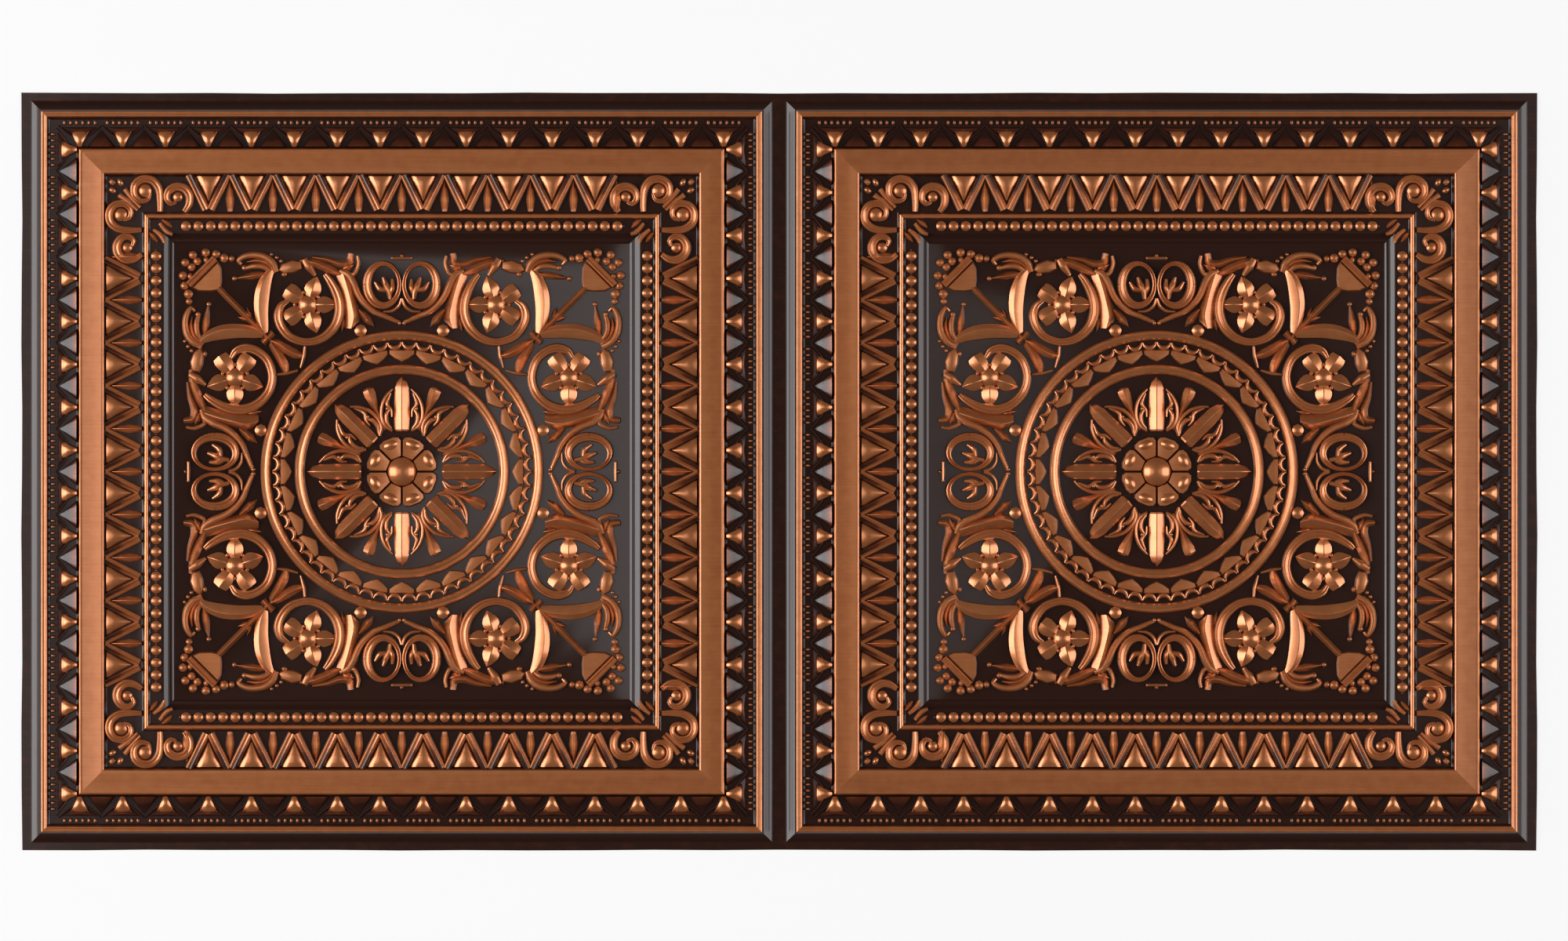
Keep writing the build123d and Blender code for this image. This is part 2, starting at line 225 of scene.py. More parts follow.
@dataclass(frozen=True)
class PalePaper:
    """Matt pale paper under the tile, which looks white all over, also where the coat mirrors it."""

    tone: str = "#F4F4F4"
    roughness: float = 0.9
    glow: float = 0.7

    def build(self) -> bpy.types.Material:
        """Make the material."""
        material = bpy.data.materials.new("pale_paper_floor")
        material.use_nodes = True
        tree = material.node_tree
        shader = tree.nodes["Principled BSDF"]
        shader.inputs["Base Color"].default_value = srgb(self.tone)
        shader.inputs["Roughness"].default_value = self.roughness
        # Seen straight or in the coat, the paper is lifted to white without more light on the tile
        rays = add_node(tree, "ShaderNodeLightPath").outputs
        seen = maths(tree, "MAXIMUM", rays["Is Camera Ray"], rays["Is Glossy Ray"])
        share = maths(tree, "MULTIPLY", seen, self.glow)
        white = add_node(tree, "ShaderNodeEmission", inputs={"Color": (1, 1, 1, 1), "Strength": 1.0})
        blend = {0: share, 1: shader.outputs[0], 2: white.outputs[0]}
        mixed = add_node(tree, "ShaderNodeMixShader", inputs=blend)
        tree.links.new(mixed.outputs[0], tree.nodes["Material Output"].inputs["Surface"])
        return material


# Mesh building

@dataclass
class MeshParts:
    """Vertices and faces of a mesh in the making, in millimetres."""

    points: list[tuple[float, float, float]] = field(default_factory=list)
    faces: list[tuple[int, ...]] = field(default_factory=list)
    crisp: list[bool] = field(default_factory=list)

    def add(
        self, points: Sequence[Sequence[float]], faces: Sequence[Sequence[int]], crisp: bool = False
    ) -> None:
        """Append one closed shell.

        Args:
            points: its corners.
            faces: its faces, which count from its own first corner.
            crisp: whether its faces are shaded flat.
        """
        start = len(self.points)
        self.points += [tuple(float(c) for c in p) for p in points]
        self.faces += [tuple(start + i for i in f) for f in faces]
        self.crisp += [crisp] * len(faces)

    def join(self, other: "MeshParts") -> None:
        """Append another mesh in the making."""
        start = len(self.points)
        self.points += other.points
        self.faces += [tuple(start + i for i in f) for f in other.faces]
        self.crisp += other.crisp

    def mapped(self, change: Callable[..., tuple[float, float, float]], mirror: bool) -> "MeshParts":
        """Give the same shape with every point moved.

        Args:
            change: gives a point's new place from its x, y and z.
            mirror: whether the change mirrors, so that faces must be turned to face outwards.

        Returns:
            The changed shape.
        """
        faces = [tuple(reversed(f)) if mirror else f for f in self.faces]
        return MeshParts([change(*p) for p in self.points], faces, list(self.crisp))

    def mirrored(self) -> "MeshParts":
        """Mirror the shape about the diagonal x = y."""
        return self.mapped(lambda x, y, z: (y, x, z), True)

    def flipped(self) -> "MeshParts":
        """Mirror the shape about x = 0."""
        return self.mapped(lambda x, y, z: (-x, y, z), True)

    def moved(self, place: Point) -> "MeshParts":
        """Move the shape in the plane of the tile."""
        return self.mapped(lambda x, y, z: (x + place[0], y + place[1], z), False)

    def turned(self, angle: float) -> "MeshParts":
        """Turn the shape about the origin, by an angle in radians."""
        c, s = cos(angle), sin(angle)
        return self.mapped(lambda x, y, z: (c * x - s * y, s * x + c * y, z), False)

    def to_mesh(self, name: str) -> bpy.types.Mesh:
        """Make the Blender mesh, in metres."""
        mesh = bpy.data.meshes.new(name)
        mesh.from_pydata([(x * MM, y * MM, z * MM) for x, y, z in self.points], [], self.faces)
        mesh.polygons.foreach_set("use_smooth", [not c for c in self.crisp])
        mesh.update()
        return mesh


def joined(*shapes: MeshParts) -> MeshParts:
    """Give one mesh in the making that holds all the shapes."""
    parts = MeshParts()
    for shape in shapes:
        parts.join(shape)
    return parts


class Section(Enum):
    """Cross-sections of a pressed ridge: places across its half width, and heights of its rise."""

    ROUND = (
        (-1, 0), (-0.94, 0.38), (-0.76, 0.72), (-0.42, 0.94), (0, 1),
        (0.42, 0.94), (0.76, 0.72), (0.94, 0.38), (1, 0),
    )
    GABLE = ((-1, 0), (-0.94, 0.2), (-0.06, 0.98), (0.06, 0.98), (0.94, 0.2), (1, 0))
    DOUBLE = (
        (-1, 0), (-0.9, 0.56), (-0.7, 0.94), (-0.48, 0.98), (-0.26, 0.74), (0, 0.66),
        (0.26, 0.74), (0.48, 0.98), (0.7, 0.94), (0.9, 0.56), (1, 0),
    )
    FLAT = ((-1, 0), (-0.8, 0.82), (-0.6, 1), (0.6, 1), (0.8, 0.82), (1, 0))


def bands(rows: int, count: int, turned: bool = False, closed: bool = False) -> list[tuple[int, ...]]:
    """Give the faces between loops of points that follow one another.

    Args:
        rows: how many loops there are.
        count: the points of a loop.
        turned: whether the loops run the other way round, as those of a dome do.
        closed: whether the last loop joins the first.

    Returns:
        The faces, which count from the first loop's first point.
    """
    faces: list[tuple[int, ...]] = []
    for i in range(rows if closed else rows - 1):
        a, b = i * count, (i + 1) % rows * count
        for j in range(count):
            m = (j + 1) % count
            faces.append((a + j, a + m, b + m, b + j) if turned else (a + j, b + j, b + m, a + m))
    return faces


def skin(points: Sequence[Sequence[float]], count: int) -> MeshParts:
    """Close rows of points into one shell.

    Args:
        points: the rows one after another, each a loop across the shape from left to right.
        count: the points of a row.

    Returns:
        The shell, with both ends closed.
    """
    rows = len(points) // count
    faces = bands(rows, count)
    last = (rows - 1) * count
    faces.append(tuple(range(count)))
    faces.append(tuple(last + j for j in reversed(range(count))))
    parts = MeshParts()
    parts.add(points, faces)
    return parts


def smooth_path(points: Sequence[Point], step: float) -> tuple[np.ndarray, np.ndarray]:
    """Run a smooth curve through the given points.

    Args:
        points: the curve's points, in order.
        step: the spacing of the samples.

    Returns:
        The samples, and for each the place among the points that it comes from.
    """
    p = np.array(points, float)
    ends = np.vstack([2 * p[0] - p[1], p, 2 * p[-1] - p[-2]])
    samples: list[np.ndarray] = []
    places: list[float] = []
    for i in range(len(p) - 1):
        a, b, c, d = ends[i : i + 4]
        count = max(2, int(hypot(*(c - b)) / step))
        for k in range(count + (i == len(p) - 2)):
            t = k / count
            bend, twist = 2 * a - 5 * b + 4 * c - d, 3 * b - a - 3 * c + d
            samples.append(0.5 * (2 * b + (c - a) * t + bend * t**2 + twist * t**3))
            places.append(i + t)
    return np.array(samples), np.array(places)


def ridge(
    points: Sequence[Point],
    widths: Sequence[float],
    rises: Sequence[float],
    base: float,
    section: Section = Section.ROUND,
    step: float = 1.6,
    smooth: bool = True,
) -> MeshParts:
    """Sweep a pressed ridge along a path.

    Args:
        points: the path, in the plane of the tile.
        widths: half widths at the path's points, or one for all.
        rises: rises at the path's points, or one for all.
        base: level of the ground that it stands on.
        section: its cross-section.
        step: spacing of the samples along it.
        smooth: whether the path is a smooth curve or straight runs.

    Returns:
        The closed ridge.
    """
    if smooth:
        path, places = smooth_path(points, step)
    else:
        path, places = np.array(points, float), np.arange(len(points), dtype=float)
    at = np.arange(len(points))
    half = np.interp(places, at, np.resize(widths, len(points)))
    rise = np.interp(places, at, np.resize(rises, len(points)))
    along = np.gradient(path, axis=0)
    along /= np.linalg.norm(along, axis=1)[:, None]
    across = np.column_stack([along[:, 1], -along[:, 0]])
    shape = section.value
    count = len(shape) + 1
    made: list[Place] = []
    for spot, side, w, h in zip(path, across, half, rise):
        made += [(*(spot + side * a * w), base - SINK if b == 0 else base + b * h) for a, b in shape]
        made.append((*spot, base - SINK))
    return skin(made, count)


def fold(
    left: Sequence[Point],
    crest: Sequence[Point],
    right: Sequence[Point],
    rises: Sequence[float],
    base: float,
    edge: float = 1.0,
) -> MeshParts:
    """Raise a creased strip between two edges.

    Args:
        left: points along the edge to the left of someone who walks along the strip.
        crest: points along the crease, one beside each of the left edge's.
        right: points along the other edge.
        rises: heights of the crease at its points.
        base: level of the ground.
        edge: height of the steep lips along both edges.

    Returns:
        The closed strip.
    """
    lines = [smooth_path(line, 4.0)[0] for line in (left, crest, right)]
    places = [np.linspace(0, 1, len(line)) for line in lines]
    at = np.linspace(0, 1, max(len(line) for line in lines))
    rails = [
        np.column_stack([np.interp(at, place, line[:, k]) for k in (0, 1)])
        for place, line in zip(places, lines)
    ]
    heights = np.interp(at, np.linspace(0, 1, len(rises)), rises)
    made: list[Place] = []
    for a, b, d, h in zip(*rails, heights):
        made += [(*a, base - SINK), (*(a + 0.07 * (b - a)), base + min(edge, 0.6 * h))]
        made += [(*(b + 0.06 * (a - b)), base + h), (*(b + 0.06 * (d - b)), base + h)]
        made += [(*(d + 0.07 * (b - d)), base + min(edge, 0.6 * h)), (*d, base - SINK)]
    return skin(made, 6)


def dome(
    centre: Point,
    radii: Point,
    rise: float,
    base: float,
    turn: float = 0.0,
    sides: int = 14,
    rings: int = 4,
) -> MeshParts:
    """Make a round or oval dome.

    Args:
        centre: its middle.
        radii: its two half widths.
        rise: its height.
        base: level of the ground.
        turn: turn of its first half width, in degrees.
        sides: facets round it.
        rings: rows of facets from foot to top.

    Returns:
        The closed dome.
    """
    c, s = cos(radians(turn)), sin(radians(turn))
    made: list[Place] = []
    for k in range(rings + 1):
        angle = pi / 2 * max(k - 1, 0) / rings
        level = base - SINK if k == 0 else base + rise * sin(angle)
        for j in range(sides):
            x = radii[0] * cos(angle) * cos(tau * j / sides)
            y = radii[1] * cos(angle) * sin(tau * j / sides)
            made.append((centre[0] + c * x - s * y, centre[1] + s * x + c * y, level))
    made.append((*centre, base + rise))
    faces = bands(rings + 1, sides, turned=True)
    faces += [(rings * sides + j, rings * sides + (j + 1) % sides, len(made) - 1) for j in range(sides)]
    faces.append(tuple(reversed(range(sides))))
    parts = MeshParts()
    parts.add(made, faces)
    return parts


def facets(
    outline: Sequence[Point], peak: Point, rise: float, base: float, lip: float = 0.0
) -> MeshParts:
    """Bring an outline, given anticlockwise, up to one peak.

    Args:
        outline: its corners.
        peak: where the peak stands.
        rise: height of the peak.
        base: level of the ground.
        lip: height of a steep edge that goes round the foot.

    Returns:
        The closed facets.
    """
    n = len(outline)
    edge = [(x + 0.04 * (peak[0] - x), y + 0.04 * (peak[1] - y)) for x, y in outline]
    rows = [[(x, y, base - SINK) for x, y in outline]]
    if lip:
        rows.append([(x, y, base + lip) for x, y in edge])
    made = [point for row in rows for point in row] + [(*peak, base + rise)]
    last = (len(rows) - 1) * n
    faces = bands(len(rows), n, turned=True)
    faces += [(last + i, last + (i + 1) % n, last + n) for i in range(n)]
    faces.append(tuple(reversed(range(n))))
    parts = MeshParts()
    parts.add(made, faces, crisp=True)
    return parts


def plate(outline: Sequence[Point], inset: float, rise: float, base: float, lift: float = 0.0) -> MeshParts:
    """A flat-topped facet, such as a shield: an outline, given anticlockwise, with sloped edges.

    Args:
        outline: its corners.
        inset: how far the top lies inside the foot.
        rise: height of the top at its corners.
        base: level of the ground.
        lift: extra height of the top's middle.

    Returns:
        The closed plate.
    """
    foot = np.array(outline, float)
    edges = np.roll(foot, -1, axis=0) - foot
    edges /= np.linalg.norm(edges, axis=1)[:, None]
    inward = np.column_stack([-edges[:, 1], edges[:, 0]])
    before = np.roll(inward, 1, axis=0)
    lean = (before + inward) / (1 + np.sum(before * inward, axis=1))[:, None]
    top = foot + inset * lean
    n = len(foot)
    edge = foot + 0.15 * inset * lean
    made = [(x, y, base - SINK) for x, y in foot] + [(x, y, base + 0.3 * rise) for x, y in edge]
    made += [(x, y, base + rise) for x, y in top] + [(*top.mean(axis=0), base + rise + lift)]
    faces = bands(3, n, turned=True)
    faces += [(2 * n + i, 2 * n + (i + 1) % n, 3 * n) for i in range(n)]
    faces.append(tuple(reversed(range(n))))
    parts = MeshParts()
    parts.add(made, faces, crisp=True)
    return parts


def blade(root: Point, tip: Point, half: float, rise: float, base: float, belly: float = 0.5) -> MeshParts:
    """A pointed leaf with a ridge down its middle, widest part of the way along."""
    at = [0.0, belly * 0.5, belly, (1 + belly) / 2, 1.0]
    widths = [0.45 * half, 0.9 * half, half, 0.62 * half, 0.05 * half]
    rises = [0.7 * rise, 0.98 * rise, rise, 0.85 * rise, 0.3 * rise]
    points = [(root[0] + t * (tip[0] - root[0]), root[1] + t * (tip[1] - root[1])) for t in at]
    return ridge(points, widths, rises, base, Section.GABLE, smooth=False)


# The levels of the sheet

@dataclass(frozen=True)
class Frame:
    """Stations and levels of a field's frame, outwards from the field's centre, in mm."""

    pitch: float = 606.8
    length: float = 1219.2
    width: float = 609.6
    panel: float = 0.6
    channel: float = 3.2
    leaf_channel: float = 4.0
    bead_channel: float = 4.0
    # Distance outwards, height over the flange, and how far the dark is rubbed off there
    stations: tuple[tuple[float, float, float], ...] = (
        (0.0, 0.6, 0.0), (183.4, 0.6, 0.0), (184.6, 1.5, 0.0), (186.6, 1.6, 0.0), (188.4, 2.1, 0.0),
        (191.2, 4.0, 0.0), (202.8, 4.0, 0.0), (204.2, 6.5, 1.0), (206.2, 6.5, 1.0), (208.0, 4.0, 0.0),
        (237.6, 4.0, 0.0), (239.0, 7.8, 0.4), (240.4, 8.5, 1.0), (249.0, 7.85, 0.86), (257.2, 7.5, 0.86),
        (258.3, 7.9, 1.0), (259.1, 7.5, 0.9), (260.6, 3.2, 0.0), (283.6, 3.2, 0.0), (284.9, 6.4, 0.5),
        (285.8, 7.2, 1.0), (287.4, 6.6, 0.8), (288.7, 7.2, 1.0), (289.4, 6.9, 0.7), (290.3, 5.6, 0.0),
        (293.4, 2.9, 0.0), (296.4, 0.5, 0.0), (297.8, 0.0, 0.08), (330.0, 0.0, 0.12),
    )

    def middle(self, x: np.ndarray) -> np.ndarray:
        """Where along X the field's centre lies that each point belongs to."""
        return np.where(x < 0, -self.pitch / 2, self.pitch / 2)

    def distance(self, x: np.ndarray, y: np.ndarray) -> np.ndarray:
        """How far outwards from its field's centre each point lies, measured square."""
        return np.maximum(np.abs(x - self.middle(x)), np.abs(y))

    def level(self, distance: np.ndarray) -> np.ndarray:
        """Height of the sheet's face above the flange's, softened as drawn vinyl is."""
        spread = np.linspace(-0.9, 0.9, 7)
        table = np.array(self.stations)
        heights = [np.interp(distance + s, table[:, 0], table[:, 1]) for s in spread]
        return GAUGE + np.average(heights, axis=0, weights=np.exp(-(spread**2) / 0.5))

    def rub(self, distance: np.ndarray) -> np.ndarray:
        """How far the dark is rubbed off the plain mouldings, from 0 to 1."""
        table = np.array(self.stations)
        return np.interp(distance, table[:, 0], table[:, 2])


FRAME = Frame()
PANEL = FRAME.panel + GAUGE
CHANNEL = FRAME.channel + GAUGE
LEAF_CHANNEL = FRAME.leaf_channel + GAUGE
BEAD_CHANNEL = FRAME.bead_channel + GAUGE


# Repeats

@dataclass(frozen=True)
class Rub:
    """Heights over the sheet, in mm: up to low the dark stays, and from reach on it is rubbed off."""

    low: float = 0.2
    reach: float = 1.2
    most: float = 0.92

    def paint(self, mesh: bpy.types.Mesh) -> None:
        """Store how far the dark is rubbed off an ornament, from its height over the sheet."""
        places = np.empty(len(mesh.vertices) * 3)
        mesh.vertices.foreach_get("co", places)
        x, y, z = places.reshape(-1, 3).T / MM
        ground = FRAME.level(FRAME.distance(x, y))
        height = np.clip((z - ground - self.low) / (self.reach - self.low), 0.0, 1.0)
        mark_rub(mesh, self.most * height * height * (3 - 2 * height))


class Repeater:
    """The Geometry Nodes tree that repeats one ornament along rows, round turns and on both fields."""

    SOCKETS = (
        ("Ornament", "NodeSocketObject"),
        ("Row Count", "NodeSocketInt"),
        ("Row Pitch", "NodeSocketFloat"),
        ("Turns", "NodeSocketInt"),
        ("Start Angle", "NodeSocketFloat"),
        ("Field Pitch", "NodeSocketFloat"),
        ("Finish", "NodeSocketMaterial"),
    )

    def __init__(self, material: bpy.types.Material) -> None:
        """Build the tree.

        Args:
            material: the finish that every repeated ornament gets.
        """
        self.material = material
        self.tree = tree = bpy.data.node_groups.new("repeat_ornament", "GeometryNodeTree")
        tree.interface.new_socket("Geometry", in_out="INPUT", socket_type="NodeSocketGeometry")
        self.keys = {
            name: tree.interface.new_socket(name, in_out="INPUT", socket_type=kind).identifier
            for name, kind in self.SOCKETS
        }
        tree.interface.new_socket("Geometry", in_out="OUTPUT", socket_type="NodeSocketGeometry")
        given = add_node(tree, "NodeGroupInput").outputs
        shape = add_node(tree, "GeometryNodeObjectInfo", inputs={"Object": given["Ornament"]})
        on_row = self.stamp(self.line(given["Row Count"], given["Row Pitch"]), shape.outputs["Geometry"])
        spokes = {"Count": given["Turns"], "Offset": (0.0, 0.0, 0.0)}
        centre = add_node(tree, "GeometryNodeMeshLine", inputs=spokes).outputs[0]
        index = add_node(tree, "GeometryNodeInputIndex").outputs[0]
        share = maths(tree, "DIVIDE", index, given["Turns"])
        angle = maths(tree, "MULTIPLY_ADD", share, tau, given["Start Angle"])
        about_z = add_node(tree, "ShaderNodeCombineXYZ", inputs={"Z": angle}).outputs[0]
        turn = add_node(tree, "FunctionNodeEulerToRotation", inputs={0: about_z}).outputs[0]
        round_centre = self.stamp(centre, on_row, {"Rotation": turn})
        on_fields = self.stamp(self.line(2, given["Field Pitch"]), round_centre)
        real = add_node(tree, "GeometryNodeRealizeInstances", inputs={0: on_fields}).outputs[0]
        finish = {"Geometry": real, "Material": given["Finish"]}
        finished = add_node(tree, "GeometryNodeSetMaterial", inputs=finish).outputs[0]
        add_node(tree, "NodeGroupOutput", inputs={0: finished})

    def line(self, count: object, pitch: bpy.types.NodeSocket) -> bpy.types.NodeSocket:
        """Lay evenly spaced points along X, centred on the origin."""
        length = maths(self.tree, "MULTIPLY", maths(self.tree, "SUBTRACT", count, 1.0), pitch)
        first = maths(self.tree, "MULTIPLY", length, -0.5)
        start = add_node(self.tree, "ShaderNodeCombineXYZ", inputs={"X": first}).outputs[0]
        step = add_node(self.tree, "ShaderNodeCombineXYZ", inputs={"X": pitch}).outputs[0]
        inputs = {"Count": count, "Start Location": start, "Offset": step}
        return add_node(self.tree, "GeometryNodeMeshLine", inputs=inputs).outputs[0]

    def stamp(
        self,
        points: bpy.types.NodeSocket,
        instance: bpy.types.NodeSocket,
        more: dict[str | int, object] | None = None,
    ) -> bpy.types.NodeSocket:
        """Set an instance on each of the points."""
        inputs = {"Points": points, "Instance": instance, **(more or {})}
        return add_node(self.tree, "GeometryNodeInstanceOnPoints", inputs=inputs).outputs[0]

    def repeat(
        self,
        name: str,
        ornament: MeshParts,
        rub: Rub = Rub(),
        row: tuple[int, float] = (1, 0.0),
        turns: int = 1,
        start: float = 0.0,
    ) -> bpy.types.Object:
        """Repeat one ornament and turn the result into a plain mesh.

        Args:
            name: the finished piece's name.
            ornament: the ornament, where it stands in a field that is centred on the origin.
            rub: how the dark is rubbed off it.
            row: how many stand along X, and their pitch in mm.
            turns: how many times the row is repeated round the field's centre.
            start: the first turn, in degrees.

        Returns:
            The finished piece, whose object is at the origin.
        """
        original = put(name + "_stamp", ornament.to_mesh(name + "_stamp"))
        piece = put(name, bpy.data.meshes.new(name))
        modifier = piece.modifiers.new("repeat", "NODES")
        modifier.node_group = self.tree
        values = {
            "Ornament": original,
            "Row Count": row[0],
            "Row Pitch": row[1] * MM,
            "Turns": turns,
            "Start Angle": radians(start),
            "Field Pitch": FRAME.pitch * MM,
            "Finish": self.material,
        }
        for socket, value in values.items():
            modifier[self.keys[socket]] = value
        bpy.context.view_layer.update()
        graph = bpy.context.evaluated_depsgraph_get()
        mesh = bpy.data.meshes.new_from_object(piece.evaluated_get(graph))
        piece.modifiers.remove(modifier)
        piece.data = mesh
        mesh.name = name
        bpy.data.objects.remove(original)
        rub.paint(mesh)
        mesh.set_sharp_from_angle(angle=radians(CREASE))
        return piece


def declare(piece: bpy.types.Object) -> None:
    """Hang a piece on the tile's body and hide the imported solid that it stands in for."""
    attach(piece, BODY)
    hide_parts(NODE)


@dataclass
class PlainSheet:
    """The flange, the stepped mouldings and the flat panels, as one closed shell."""

    edge_wave: float = 0.9
    crease: float = 50.0
    # Into how many lengths a ring's side is cut, and where the rings lie: from, to, step
    runs: int = 12
    steps: tuple[tuple[float, float, float], ...] = (
        (183.0, 193.0, 0.5),
        (195.0, 200.0, 4.0),
        (201.5, 209.5, 0.4),
        (214.0, 236.0, 12.0),
        (236.4, 242.0, 0.4),
        (245.0, 256.0, 4.0),
        (256.2, 262.0, 0.35),
        (270.0, 282.0, 10.0),
        (282.2, 299.0, 0.35),
    )

    def build(self, material: bpy.types.Material) -> bpy.types.Object:
        """Make the shell.

        Args:
            material: its finish.

        Returns:
            The finished piece.
        """
        points, faces = self.face()
        x, y = points.T
        distance = FRAME.distance(x, y)
        upper = np.column_stack([self.trimmed(points), FRAME.level(distance)])
        under = len(upper)
        lower = upper - [0.0, 0.0, GAUGE]
        shell = faces + [tuple(under + i for i in reversed(f)) for f in faces]
        around = {(f[i - 1], f[i]) for f in faces for i in range(len(f))}
        shell += [(b, a, under + a, under + b) for a, b in sorted(around) if (b, a) not in around]
        mesh = bpy.data.meshes.new("formed_sheet")
        mesh.from_pydata((np.vstack([upper, lower]) * MM).tolist(), [], shell)
        mesh.update()
        mark_rub(mesh, np.concatenate([FRAME.rub(distance), np.zeros(under)]))
        mesh.materials.append(material)
        mesh.shade_smooth()
        mesh.set_sharp_from_angle(angle=radians(self.crease))
        mitred = np.tile(np.isclose(np.abs(x - FRAME.middle(x)), np.abs(y), rtol=0.0, atol=0.01), 2)
        for edge in mesh.edges:
            if all(mitred[i] for i in edge.vertices):
                edge.use_edge_sharp = True
        return put("formed_sheet", mesh)

    def face(self) -> tuple[np.ndarray, list[tuple[int, ...]]]:
        """Lay out the face of both fields as rings of points round each panel.

        Returns:
            The points, in the plane of the tile, and the faces between them.
        """
        outward = np.concatenate([np.arange(*step) for step in self.steps])
        half = FRAME.pitch / 2
        points: list[Point] = []
        faces: list[tuple[int, ...]] = []
        count = SIDES * self.runs
        for side in (-1, 1):
            middle = side * half
            ends = sorted((0.0, side * FRAME.length / 2))
            boxes = [(middle - d, middle + d, d) for d in outward] + [(*ends, FRAME.width / 2)]
            first = len(points)
            for left, right, top in boxes:
                corners = [(right, -top), (right, top), (left, top), (left, -top)]
                for k in range(count):
                    a, b = corners[k // self.runs], corners[(k // self.runs + 1) % SIDES]
                    t = k % self.runs / self.runs
                    points.append((a[0] + t * (b[0] - a[0]), a[1] + t * (b[1] - a[1])))
            faces.append(tuple(range(first, first + count)))
            faces += [tuple(first + i for i in f) for f in bands(len(boxes), count)]
        kept, places = np.unique(np.round(points, 3), axis=0, return_inverse=True)
        places = places.ravel()
        return kept, [tuple(int(places[i]) for i in f) for f in faces]

    def trimmed(self, points: np.ndarray) -> np.ndarray:
        """Draw the outer edge in a little here and there, since it was trimmed by hand."""
        x, y = points.T
        # Slow waves whose lengths share no period, across the long edges and then the short ones
        wave = self.edge_wave * (0.5 + 0.5 * np.sin(0.031 * x + 1.2) * np.cos(0.017 * x + 0.043 * y))
        along = np.where(np.abs(y) > FRAME.width / 2 - 0.1, y - np.sign(y) * wave, y)
        wave = self.edge_wave * (0.5 + 0.5 * np.sin(0.037 * y + 0.4))
        across = np.where(np.abs(x) > FRAME.length / 2 - 0.1, x - np.sign(x) * wave, x)
        return np.column_stack([across, along])


@dataclass
class Courses:
    """The repeating courses of a frame: fine beads, teeth, leaves with darts, and beads."""

    pitch: float = 34.5
    teeth: int = 16
    leaves: int = 10
    bead_pitch: float = 9.9
    beads: int = 36
    bead_line: float = 197.3
    fine_pitch: float = 4.93
    fine_beads: int = 6
    fine_line: float = 280.4

    def pieces(self, repeater: Repeater) -> list[bpy.types.Object]:
        """Make the courses.

        Args:
            repeater: the tree that repeats them.

        Returns:
            One piece for each course.
        """
        teeth, between, leaves = ((n, self.pitch) for n in (self.teeth, self.teeth - 1, self.leaves))
        beads = (self.beads, self.bead_pitch)
        return [
            repeater.repeat("fine_bead_course", self.fine_run(), Rub(0.6, 2.4), teeth, SIDES),
            repeater.repeat("tooth_course", self.tooth(), Rub(1.7, 3.3), teeth, SIDES),
            repeater.repeat("counter_tooth_course", self.counter_tooth(), Rub(1.8, 8.5), between, SIDES),
            repeater.repeat("leaf_course", self.leaf(), Rub(0.2, 1.0), leaves, SIDES),
            repeater.repeat("bead_course", self.bead(), Rub(0.2, 1.3), beads, SIDES),
        ]

    def fine_run(self) -> MeshParts:
        """A run of fine beads inside the outer moulding, one run beside each tooth."""
        places = [(k - (self.fine_beads - 1) / 2) * self.fine_pitch for k in range(self.fine_beads)]
        return joined(*(self.fine_bead(x) for x in places))

    def fine_bead(self, across: float) -> MeshParts:
        """One fine bead, set off from the middle of its run."""
        return dome((across, self.fine_line), (1.6, 2.4), 2.3, CHANNEL, sides=10, rings=3)

    def tooth(self) -> MeshParts:
        """A wide dark tooth that points inwards, with the copper drop at its peak and a rib on each side."""
        drop = [(0.0, y) for y in (273.2, 270.2, 266.6, 263.4, 261.0)]
        parts = joined(
            facets([(-16.4, 277.0), (0.0, 261.4), (16.4, 277.0)], (0.0, 274.8), 2.5, CHANNEL),
            ridge(drop, [8.4, 7.0, 4.8, 3.2, 2.4], [3.0, 4.4, 5.2, 5.0, 3.6], CHANNEL, smooth=False),
        )
        for side in (-1, 1):
            rib = [(side * 17.0, 278.0), (side * 11.0, 272.6), (side * 5.0, 268.4)]
            parts.join(ridge(rib, [0.9, 0.6, 0.6], [2.2, 2.3, 2.6], CHANNEL, smooth=False))
        return parts

    def counter_tooth(self) -> MeshParts:
        """The plain tooth between two others, which points and slopes outwards."""
        path = [(0.0, 274.6), (0.0, 269.6), (0.0, 261.2)]
        return ridge(path, [0.6, 4.6, 11.4], [0.4, 1.5, 5.3], CHANNEL, Section.FLAT, smooth=False)

    def leaf(self) -> MeshParts:
        """A pair of grooved bars that meet in a V, a smooth dart between them and a spindle beside them."""
        bars = [[(side * 15.4, 238.6), (side * 1.7, 210.6)] for side in (-1, 1)]
        dart = [(0.0, y) for y in (237.2, 234.0, 229.0, 223.0, 217.6)]
        dart_shape = [10.8, 9.4, 6.4, 3.2, 0.5], [3.0, 3.9, 3.7, 2.8, 1.2]
        spindle = [(self.pitch / 2, y) for y in (208.9, 213.0, 219.0, 226.0, 233.0)]
        spindle_shape = [2.0, 3.0, 3.7, 2.7, 0.7], [2.8, 3.6, 4.2, 3.6, 1.6]
        return joined(
            *(ridge(bar, [3.7], [3.8], LEAF_CHANNEL, Section.DOUBLE, smooth=False) for bar in bars),
            ridge(dart, *dart_shape, LEAF_CHANNEL, smooth=False),
            ridge(spindle, *spindle_shape, LEAF_CHANNEL, Section.GABLE, smooth=False),
        )

    def bead(self) -> MeshParts:
        """One bead of the row that rings the panel, with the short neck to the next."""
        return joined(
            dome((0.0, self.bead_line), (4.5, 4.6), 3.9, BEAD_CHANNEL, sides=12, rings=3),
            dome((self.bead_pitch / 2, self.bead_line), (0.9, 1.5), 0.9, BEAD_CHANNEL, sides=8, rings=2),
        )


